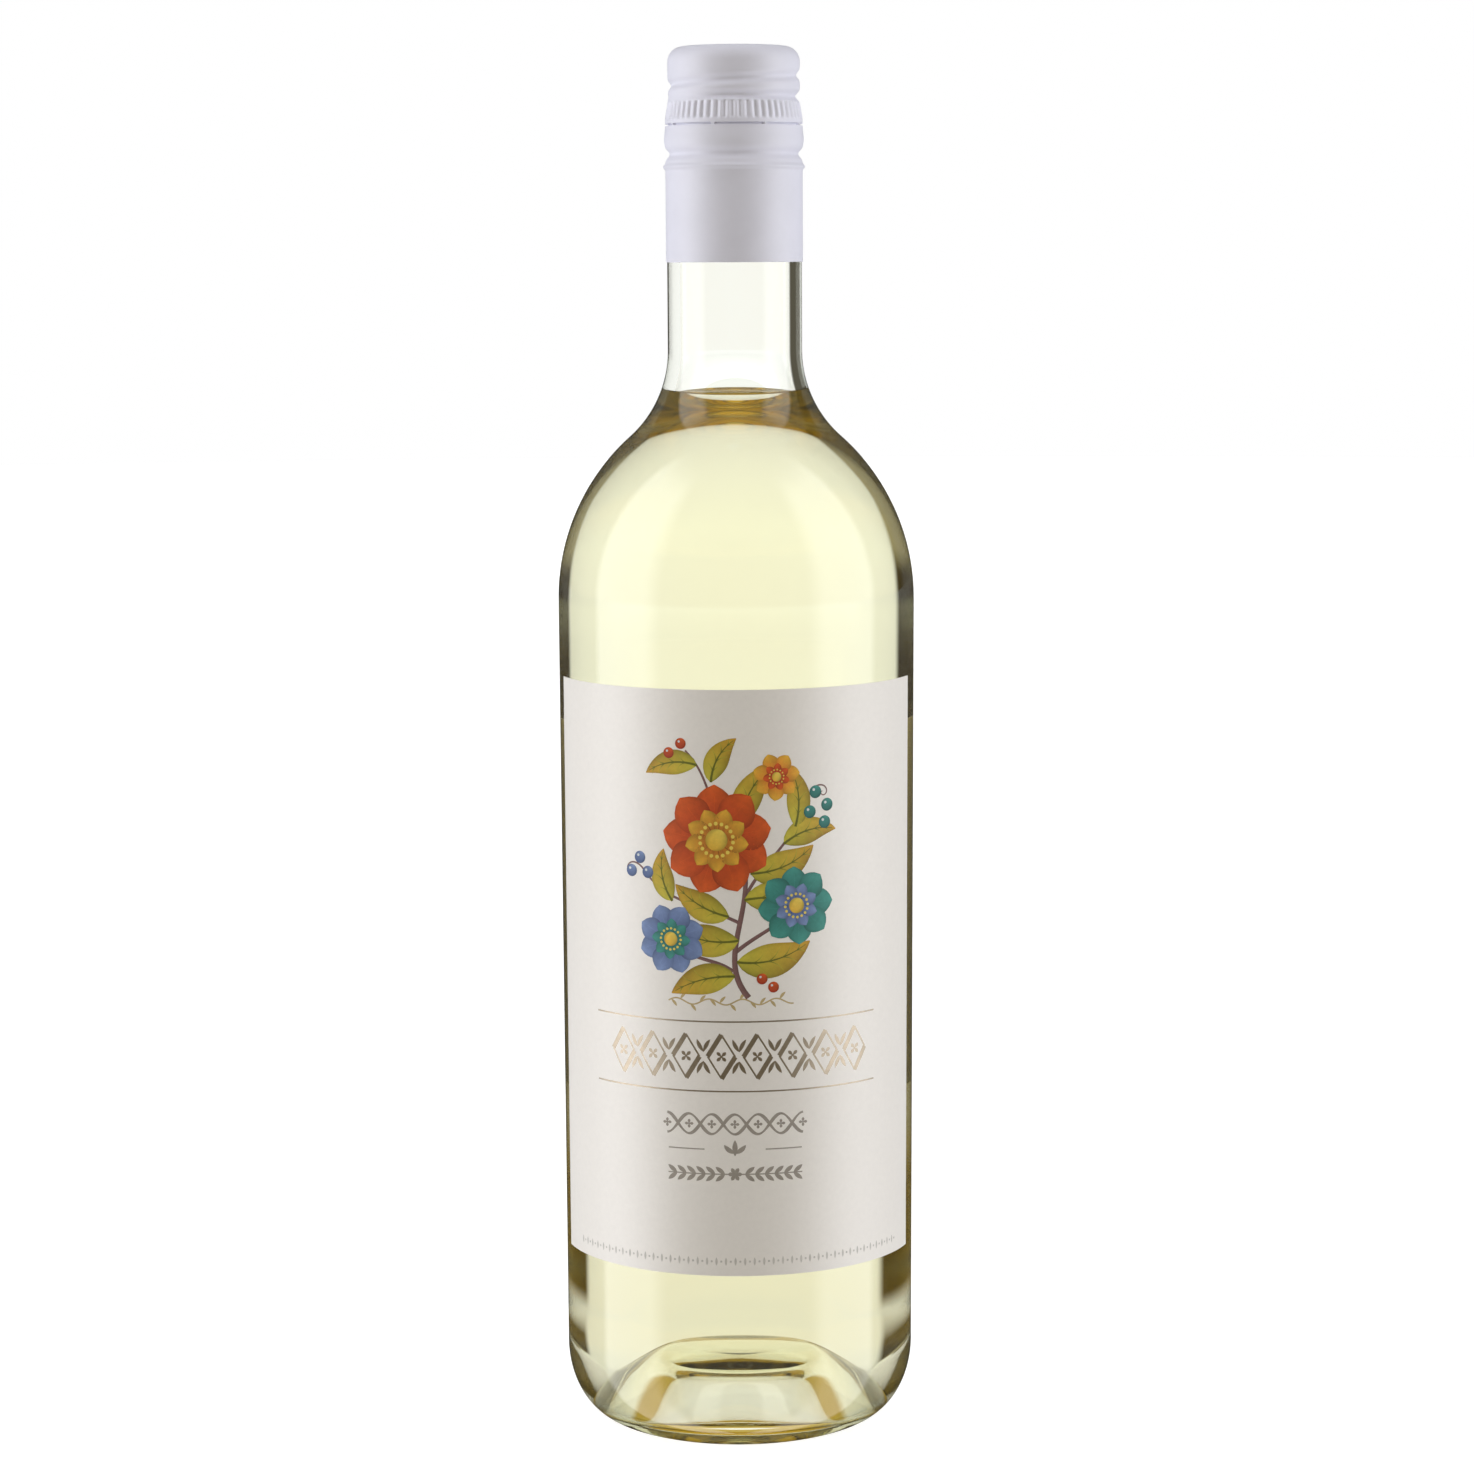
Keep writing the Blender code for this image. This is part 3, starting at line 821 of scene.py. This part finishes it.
def branchMarks():
    # the stem with its side shoots, each tapering along its path, and four tendrils
    shoots = (
        (bend((3.0, 98.5), (-5.0, 108.0), (7.0, 118.0), (0.5, 134.0)), 0.62, 0.42),
        (bend((0.3, 108.0), (5.0, 112.0), (9.0, 113.0), (13.0, 117.0)), 0.42, 0.3),
        (bend((-0.2, 104.0), (-4.0, 107.0), (-9.0, 106.0), (-13.0, 110.0)), 0.42, 0.3),
        (bend((2.6, 120.0), (6.0, 127.0), (12.0, 130.0), (15.5, 139.0)), 0.36, 0.2),
        (bend((1.0, 131.0), (-6.0, 138.0), (-4.0, 144.0), (-10.0, 150.0)), 0.34, 0.18),
        (bend((1.5, 114.0), (-6.0, 118.0), (-14.0, 118.0), (-19.0, 124.0)), 0.36, 0.2),
    )
    marks = []
    for path, start, end in shoots:
        marks.append(strip(path, np.linspace(start, end, len(path)), 2, labelPrint["bark"], 0.2, 0.2, 5))
    for start, heading, size, hand in (((15.5, 139.0), 70, 13, -1), ((-19.0, 124.0), 130, 12, 1),
                                       ((13.0, 117.0), -30, 12, -1), ((-13.0, 110.0), 200, 11, 1)):
        marks += tendrilMarks(start, heading, size, hand)
    return marks


def leafCluster():
    # twelve leaves: base, heading in degrees, length, half width and sag
    marks = []
    for base, heading, length, width, sag in (
            ((2.2, 119.0), -8, 17.0, 3.6, 0.2), ((1.0, 110.5), 168, 15.0, 3.4, 0.25),
            ((0.6, 106.0), 14, 16.0, 3.6, -0.25), ((0.2, 103.0), 196, 14.0, 3.2, -0.2),
            ((3.5, 124.5), 22, 14.5, 3.4, -0.25), ((-1.0, 115.5), 150, 13.0, 3.0, 0.2),
            ((10.5, 130.5), 12, 12.0, 2.8, 0.3), ((13.0, 134.0), 95, 12.5, 2.6, -0.25),
            ((-4.6, 143.5), 60, 10.5, 2.5, 0.3), ((-7.5, 147.0), 190, 11.5, 2.6, -0.3),
            ((-13.0, 118.5), 100, 11.0, 2.5, 0.3), ((1.2, 134.0), 62, 15.0, 3.0, 0.25)):
        marks += leafMarks(base, heading, length, width, sag)
    return marks


def blossomCluster():
    # one large blossom, two middling ones below it and a small one above
    p = labelPrint
    rust = (p["rust"], p["rustDeep"])
    teal = (p["teal"], p["tealDeep"])
    blue = (p["blue"], p["blueDeep"])
    marks = blossomMarks((-3.5, 131.5), 11.5, 9, rust, (p["amber"], p["rustDeep"]), 12)
    marks += blossomMarks((13.2, 117.5), 8.2, 8, teal, blue, 4)
    marks += blossomMarks((-13.4, 110.5), 7.4, 8, blue, teal, 20)
    marks += blossomMarks((9.0, 144.5), 5.0, 7, (p["amber"], p["rust"]), rust, 8)
    return marks


def berryCluster():
    # teal berries at the right, blue ones at the left, and a few red ones above and below
    p = labelPrint
    marks = berryMarks(
        ((17.5, 141.0), (20.2, 138.2), (16.2, 136.9), (19.6, 134.6)), 1.35, p["teal"], p["tealDeep"])
    marks += berryMarks(((-20.5, 127.2), (-22.6, 124.3), (-18.6, 124.2)), 1.3, p["blue"], p["blueDeep"])
    marks += berryMarks(
        ((-11.0, 151.4), (-13.6, 149.4), (5.8, 102.4), (8.2, 100.6)), 1.15, p["rust"], p["rustDeep"])
    return marks


def inkMaterial(name, metal=False):
    # the colour comes from each mark, mottled as ink or foil is
    material, tree, shader = newMaterial(name)
    own = node(tree, "ShaderNodeVertexColor", layer_name="inkColour")
    mottle = rampOf(tree, noiseOf(tree, 700.0, 5.0, 0.65), (
        (0.3, (0.80, 0.80, 0.80)), (0.7, (1.0, 1.0, 1.0))))
    tone = node(tree, "ShaderNodeMix", data_type="RGBA", blend_type="MULTIPLY")
    tone.inputs["Factor"].default_value = 1.0
    tree.links.new(own.outputs["Color"], tone.inputs["A"])
    tree.links.new(mottle, tone.inputs["B"])
    tree.links.new(tone.outputs["Result"], shader.inputs["Base Color"])
    setInputs(shader, Metallic=1.0 if metal else 0.0, IOR=1.45)
    rough = (0.34, 0.42) if metal else (0.5, 0.6)
    tree.links.new(rangeOf(tree, noiseOf(tree, 1500.0, 3.0), *rough), shader.inputs["Roughness"])
    return material


def addPrint(name, marks, material):
    # all the marks of one kind as one mesh, with their colours at its points
    counts = np.cumsum([0] + [len(points) for points, _, _ in marks])
    points = np.vstack([points for points, _, _ in marks])
    faces = np.vstack([faces + start for (_, faces, _), start in zip(marks, counts)])
    colours = np.vstack([colour for _, _, colour in marks])
    piece = addPiece(name, points, faces, [], material, 30)
    layer = piece.data.color_attributes.new("inkColour", "FLOAT_COLOR", "POINT")
    layer.data.foreach_set("color", np.column_stack((colours, np.ones(len(colours)))).ravel())


# The view, the light and the floor

studio = {
    "distance": 0.8256,
    "eyeZ": 0.251,
    "pitch": math.radians(7.1),
    "azimuth": math.radians(1.25),
    "sensor": 36.0,
    "focalShare": 3870 / 1474,
    "yaw": math.radians(0.037),
    "roll": math.radians(0.285),
    "front": (0.262, 0.235, 0.185),
    "leftBox": (2.5, 2.52, 2.6),
    "rightBox": (2.2, 2.22, 2.29),
    "backdrop": (1.05, 1.05, 1.05),
    "gap": (0.08, 0.08, 0.08),
    "glossBack": (0.05, 0.05, 0.045),
    "overhead": (0.4, 0.4, 0.41),
    "behind": (1.05, 1.05, 1.04),
    # the table's painted light by distance from the axis: a painted bright middle, painted golden light
    # under the wine, then paler and brighter further out
    "table": ((0.005, (1.35, 1.38, 1.34)), (0.009, (0.70, 0.50, 0.10)), (0.034, (0.62, 0.46, 0.13)),
              (0.05, (0.95, 0.96, 0.93)), (0.3, (1.0, 1.02, 0.99)), (0.75, (1.17, 1.20, 1.15)),
              (1.7, (1.13, 1.15, 1.12)), (3.5, (1.07, 1.09, 1.07))),
    "fan": ((0.20, (0.03, 0.02, 0.004)), (0.28, (0.42, 0.38, 0.24)), (0.7, (0.42, 0.38, 0.24)),
            (1.1, (0.016, 0.010, 0.003))),
    # the table's painted golden and dark light, seen by light reflected across the wine
    "inner": ((0.012, (0.80, 0.50, 0.02)), (0.02, (0.46, 0.27, 0.0)), (0.036, (0.46, 0.27, 0.0)),
              (0.045, (0.72, 0.60, 0.28)), (0.08, (0.72, 0.60, 0.28)), (0.10, (0.50, 0.33, 0.03)),
              (0.2, (0.50, 0.33, 0.03)), (0.35, (0.09, 0.055, 0.012)), (1.6, (0.09, 0.06, 0.018))),
    "innerFade": (1.6, 2.6),
    "innerHigh": (1.02, 1.02, 0.92),
    "innerSide": (0.55, 0.38, 0.06),
    "under": (1.42, 1.46, 1.42),
    "neckDark": (0.10, 0.09, 0.065),
    "overheadFrom": (0.75, 0.95),
    "underFrom": (-0.06, -0.02),
    "innerHighFrom": (142, 150),
    "neckDarkFrom": (126, 132, 176),
    "reach": 4.0,
    "sides": 96,
    "halfway": 0.1,
    "floor": (0.92, 0.92, 0.92),
    "floorGlow": 0.5,
    "sectorApex": (0.013, 0.036),
    "sectorStart": (0.08, 0.10),
    "sectorNear": (math.radians(38.0), 0.20),
    "sectorFar": (math.radians(46.0), 0.42),
    "sectorLeft": math.radians(-3.7),
    "sectorSoft": math.radians(2.2),
    "sectorEnd": (math.radians(80.0), math.radians(96.0)),
}


def makeCamera():
    # focalShare is the focal length over the frame's width
    s = studio
    data = bpy.data.cameras.new("camera")
    data.lens = s["focalShare"] * s["sensor"]
    data.sensor_width = s["sensor"]
    data.clip_start, data.clip_end = 0.05, 20.0
    camera = bpy.data.objects.new("camera", data)
    bpy.context.scene.collection.objects.link(camera)
    a = s["azimuth"]
    camera.location = (s["distance"] * math.sin(a), -s["distance"] * math.cos(a), s["eyeZ"])
    camera.rotation_euler = (math.pi / 2 - s["pitch"], s["roll"], a - s["yaw"])
    bpy.context.scene.camera = camera


def azimuthShare(tree):
    # 0 to 1 round the world, one half at the front: (atan2(x, -y) + pi) / 2 pi
    place = node(tree, "ShaderNodeTexCoord")
    parts = node(tree, "ShaderNodeSeparateXYZ")
    tree.links.new(place.outputs["Generated"], parts.inputs["Vector"])
    forward = node(tree, "ShaderNodeMath", operation="MULTIPLY")
    forward.inputs[1].default_value = -1.0
    tree.links.new(parts.outputs["Y"], forward.inputs[0])
    turn = node(tree, "ShaderNodeMath", operation="ARCTAN2")
    tree.links.new(parts.outputs["X"], turn.inputs[0])
    tree.links.new(forward.outputs[0], turn.inputs[1])
    share = node(tree, "ShaderNodeMapRange")
    setInputs(share, From_Min=-math.pi, From_Max=math.pi)
    tree.links.new(turn.outputs[0], share.inputs["Value"])
    return share.outputs["Result"], parts.outputs["Z"]


def brightRamp(tree, source, stops):
    # a ramp whose colours may pass 1: it is made at its peak's share and scaled up again
    peak = max(max(colour) for _, colour in stops)
    lift = node(tree, "ShaderNodeVectorMath", operation="SCALE")
    lift.inputs["Scale"].default_value = peak
    low = [(place, tuple(v / peak for v in colour)) for place, colour in stops]
    tree.links.new(rampOf(tree, source, low), lift.inputs[0])
    return lift.outputs["Vector"]


def aroundColour(tree, share, stops):
    # light by angle from the front, in degrees, positive to the right
    return brightRamp(tree, share, [((angle + 180) / 360, colour) for angle, colour in stops])


def smoothMask(tree, value, low, high):
    # 0 below low, 1 above high, smooth between; the two limits may be sockets
    mask = node(tree, "ShaderNodeMapRange", interpolation_type="SMOOTHSTEP")
    tree.links.new(value, mask.inputs["Value"])
    for key, limit in (("From Min", low), ("From Max", high)):
        if isinstance(limit, float):
            mask.inputs[key].default_value = limit
        else:
            tree.links.new(limit, mask.inputs[key])
    return mask.outputs["Result"]


def mathOf(tree, first, second, operation="ADD"):
    # one Math node over two sockets or numbers
    made = node(tree, "ShaderNodeMath", operation=operation)
    for slot, value in zip(made.inputs, (first, second)):
        if isinstance(value, (int, float)):
            slot.default_value = value
        else:
            tree.links.new(value, slot)
    return made.outputs[0]


def mixOf(tree, share, first, second):
    # from the first colour to the second by share; each colour is a socket or three numbers
    mixed = node(tree, "ShaderNodeMix", data_type="RGBA")
    tree.links.new(share, mixed.inputs["Factor"])
    for slot, colour in (("A", first), ("B", second)):
        if isinstance(colour, tuple):
            mixed.inputs[slot].default_value = (*colour, 1.0)
        else:
            tree.links.new(colour, mixed.inputs[slot])
    return mixed.outputs["Result"]


def innerTone(tree, plain, tone, limit=None, crossedWine=True):
    # light that was reflected inside the glass, after crossing the wine or within the
    # neck's bare wall, sees tone and not plain; limit is a socket that narrows where
    path = node(tree, "ShaderNodeLightPath")
    reflected = mathOf(tree, path.outputs["Glossy Depth"], 1.0, "MINIMUM")
    test = "GREATER_THAN" if crossedWine else "LESS_THAN"
    crossed = mathOf(tree, path.outputs["Transmission Depth"], 2.5, test)
    reflected = mathOf(tree, reflected, crossed, "MULTIPLY")
    if limit is not None:
        reflected = mathOf(tree, reflected, limit, "MULTIPLY")
    return mixOf(tree, reflected, plain, tone)


def roomTone(tree, share, upward):
    # what lights the surfaces: two soft boxes, a dim front, a backdrop that reflections
    # see dark, narrow gaps between them, and a dim ceiling
    s = studio
    front, left, right, gap = s["front"], s["leftBox"], s["rightBox"], s["gap"]
    rounds = []
    for back in (s["backdrop"], s["glossBack"]):
        rounds.append(aroundColour(tree, share, (
            (-136, back), (-130, gap), (-103, gap), (-97, left), (-60, left), (-48, front),
            (48, front), (60, right), (97, right), (103, gap), (130, gap), (136, back))))
    path = node(tree, "ShaderNodeLightPath")
    lit = mixOf(tree, path.outputs["Is Glossy Ray"], *rounds)
    return mixOf(tree, smoothMask(tree, upward, *s["overheadFrom"]), lit, s["overhead"])


def throughTone(tree, share, upward):
    # what shows through the glass: an even white, brighter under the table, with a golden
    # room for light reflected across the wine and a dark one for the neck's bare wall
    s = studio
    high, side, dark, plain = s["innerHigh"], s["innerSide"], s["neckDark"], s["behind"]
    even = mixOf(tree, smoothMask(tree, upward, *s["underFrom"]), s["under"], plain)
    near, far = s["innerHighFrom"]
    within = aroundColour(tree, share, (
        (-far, high), (-near, side), (near, side), (far, high)))
    start, full, last = s["neckDarkFrom"]
    neck = aroundColour(tree, share, (
        (start, plain), (full, dark), (last, dark), (180, plain)))
    return innerTone(tree, innerTone(tree, even, neck, crossedWine=False), within)


def makeWorld():
    # the room lights the surfaces, its other tones show through the glass, and the camera
    # sees plain white paper
    world = bpy.data.worlds.new("studio")
    world.use_nodes = True
    tree = world.node_tree
    tree.nodes.clear()
    share, upward = azimuthShare(tree)
    lights = []
    for tone in (roomTone(tree, share, upward), throughTone(tree, share, upward)):
        light = node(tree, "ShaderNodeBackground")
        tree.links.new(tone, light.inputs["Color"])
        lights.append(light)
    plain = node(tree, "ShaderNodeBackground")
    setInputs(plain, Color=(1.0, 1.0, 1.0, 1.0), Strength=1.0)
    lights.append(plain)
    path = node(tree, "ShaderNodeLightPath")
    seen = lights[0].outputs[0]
    for kind, light in zip(("Is Transmission Ray", "Is Camera Ray"), lights[1:]):
        choose = node(tree, "ShaderNodeMixShader")
        tree.links.new(path.outputs[kind], choose.inputs["Fac"])
        tree.links.new(seen, choose.inputs[1])
        tree.links.new(light.outputs[0], choose.inputs[2])
        seen = choose.outputs[0]
    output = node(tree, "ShaderNodeOutputWorld")
    tree.links.new(seen, output.inputs["Surface"])
    bpy.context.scene.world = world


def roundSheet(name, material):
    # a round face on the floor's level, not attached to the bottle:
    # x = reach cos(angle), y = reach sin(angle)
    sides = studio["sides"]
    angle = np.linspace(0, 2 * math.pi, sides + 1)[:-1]
    rim = np.column_stack((np.cos(angle), np.sin(angle), np.zeros(sides))) * studio["reach"]
    mesh = bpy.data.meshes.new(name)
    mesh.from_pydata(rim.tolist(), [], [list(range(sides))])
    mesh.materials.append(material)
    piece = bpy.data.objects.new(name, mesh)
    bpy.context.scene.collection.objects.link(piece)
    return piece


def darkSector(tree, place, away):
    # two dark fans on the table behind the bottle, seen only through the glass, that draw
    # its edges: the angle at the apex is atan2(|x| + apex x, y - apex y), and the fans
    # start at an angle that grows with the distance
    s = studio
    parts = node(tree, "ShaderNodeSeparateXYZ")
    tree.links.new(place, parts.inputs["Vector"])
    across = mathOf(tree, mathOf(tree, parts.outputs["X"], 0, "ABSOLUTE"), s["sectorApex"][0])
    along = mathOf(tree, parts.outputs["Y"], -s["sectorApex"][1])
    angle = mathOf(tree, across, along, "ARCTAN2")
    start = node(tree, "ShaderNodeMapRange", interpolation_type="SMOOTHSTEP")
    setInputs(start, From_Min=s["sectorNear"][1], From_Max=s["sectorFar"][1])
    setInputs(start, To_Min=s["sectorNear"][0], To_Max=s["sectorFar"][0])
    tree.links.new(away, start.inputs["Value"])
    onLeft = mathOf(tree, parts.outputs["X"], 0.0, "LESS_THAN")
    shift = mathOf(tree, onLeft, s["sectorLeft"], "MULTIPLY")
    start = mathOf(tree, start.outputs["Result"], shift)
    soft = s["sectorSoft"]
    inside = smoothMask(tree, angle, mathOf(tree, start, -soft), mathOf(tree, start, soft))
    ended = smoothMask(tree, angle, *s["sectorEnd"])
    beyond = smoothMask(tree, away, *s["sectorStart"])
    ahead = mathOf(tree, 1.0, ended, "SUBTRACT")
    return mathOf(tree, mathOf(tree, inside, beyond, "MULTIPLY"), ahead, "MULTIPLY")


def makeFloor():
    # a white floor that only the camera sees
    material, tree, shader = newMaterial("paleFloor")
    setInputs(shader, Base_Color=(*studio["floor"], 1.0), Roughness=0.8)
    setInputs(shader, Emission_Color=(1, 1, 1, 1), Emission_Strength=studio["floorGlow"])
    floor = roundSheet("floor", material)
    floor.visible_diffuse = False
    floor.visible_glossy = False
    floor.visible_transmission = False


def makeTable():
    # a glowing table that is seen only through the glass; its whole tone is emitted, painted light:
    # painted golden light under the wine and painted light that grows brighter away from the bottle
    s = studio
    material, tree, shader = newMaterial("tablePaintedLight")
    setInputs(shader, Base_Color=(0.0, 0.0, 0.0, 1.0), Roughness=1.0, Specular_IOR_Level=0.0)
    setInputs(shader, Emission_Strength=1.0)
    place = node(tree, "ShaderNodeTexCoord")
    length = node(tree, "ShaderNodeVectorMath", operation="LENGTH")
    tree.links.new(place.outputs["Object"], length.inputs[0])
    away = length.outputs["Value"]
    # distance as a share, away / (away + halfway), so that the ramps reach the whole table
    halfway = s["halfway"]
    share = mathOf(tree, away, mathOf(tree, away, halfway), "DIVIDE")
    tones = []
    for name in ("table", "inner", "fan"):
        stops = [(metres / (metres + halfway), colour) for metres, colour in s[name]]
        tones.append(brightRamp(tree, share, stops))
    plain, inner, fan = tones
    near = mathOf(tree, 1.0, smoothMask(tree, away, *s["innerFade"]), "SUBTRACT")
    shaded = darkSector(tree, place.outputs["Object"], away)
    tone = mixOf(tree, shaded, innerTone(tree, plain, inner, near), fan)
    tree.links.new(tone, shader.inputs["Emission Color"])
    table = roundSheet("table_glow", material)
    table.visible_camera = False
    table.visible_diffuse = False
    table.visible_glossy = False
    table.visible_shadow = False
    table.visible_volume_scatter = False


bpy.context.scene.view_settings.view_transform = "Standard"
# light turns many times between glass and wine before it leaves
bpy.context.scene.cycles.max_bounces = 32
bpy.context.scene.cycles.transmission_bounces = 32
makeCamera()
makeWorld()
makeFloor()
makeTable()
print("studio made")
makeGlass()
makeWine()
print("glass and wine made")
makeCap()
print("cap made")
paper = paperMaterial("frontPaper", label["paper"])
lowZ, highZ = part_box("front_label")[0][2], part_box("front_label")[1][2]
front = bentSheet("front_label_paper", lowZ, highZ, label["frontHalfAngle"], 0.0, paper)
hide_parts("front_label")
plainPaper = paperMaterial("backPaper", label["backPaper"])
lowZ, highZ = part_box("back_label")[0][2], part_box("back_label")[1][2]
back = bentSheet("back_label_paper", lowZ, highZ, label["backHalfAngle"], math.pi, plainPaper)
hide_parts("back_label")
print("labels made")
ink = inkMaterial("labelInk")
foil = inkMaterial("labelFoil", True)
addPrint("print_branch", branchMarks(), ink)
addPrint("print_leaves", leafCluster(), ink)
addPrint("print_berries", berryCluster(), ink)
addPrint("print_blossoms", blossomCluster(), ink)
addPrint("print_name_band", nameBandMarks(), foil)
addPrint("print_foil_rules", ruleMarks(), foil)
addPrint("print_small_bands", smallBandMarks(), ink)
addPrint("print_fine_lines", fineMarks(), ink)
print("print made")
